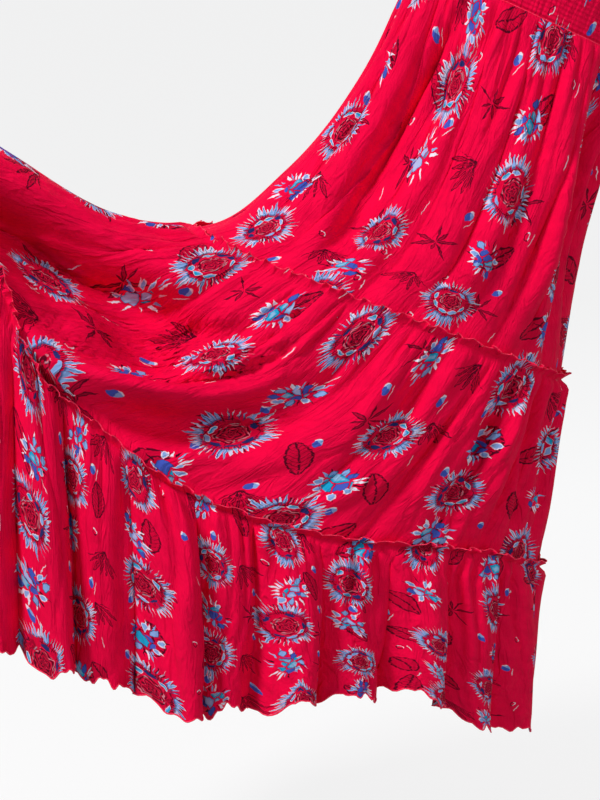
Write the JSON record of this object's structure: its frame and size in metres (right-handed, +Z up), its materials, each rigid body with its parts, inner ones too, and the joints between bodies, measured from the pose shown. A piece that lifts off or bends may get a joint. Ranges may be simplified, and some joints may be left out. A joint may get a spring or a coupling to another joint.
{
  "type": "tiered dress",
  "caption": "Sleeveless tiered summer dress as worn: shirred bodice and a long skirt in gathered tiers, its hollow skirt swept out to one side.",
  "frame": {"origin": "middle of the waist seam, where the wearer's waist holds the dress up", "axes": "+Z up, +X towards the side that hangs straight, -X towards the side of the skirt that is held out, -Y out of the front of the dress"},
  "size_m": [0.9376, 0.4301, 1.1675],
  "materials": {
    "shirred_cloth": "crinkled crimson viscose gathered on rows of elastic thread, printed with flowers",
    "printed_cloth": "light crinkled crimson viscose with a flower print, soft low sheen",
    "flounce_cloth": "the same printed viscose, gathered, with a narrow rolled hem"
  },
  "bodies": {
    "root": {"bodice_front": "shirred_cloth", "bodice_back": "shirred_cloth", "upper_tier_front": "printed_cloth", "upper_tier_back": "printed_cloth", "middle_tier_front": "printed_cloth", "middle_tier_back": "printed_cloth", "flounce_front": "flounce_cloth", "flounce_back": "flounce_cloth"}
  },
  "joints": []
}
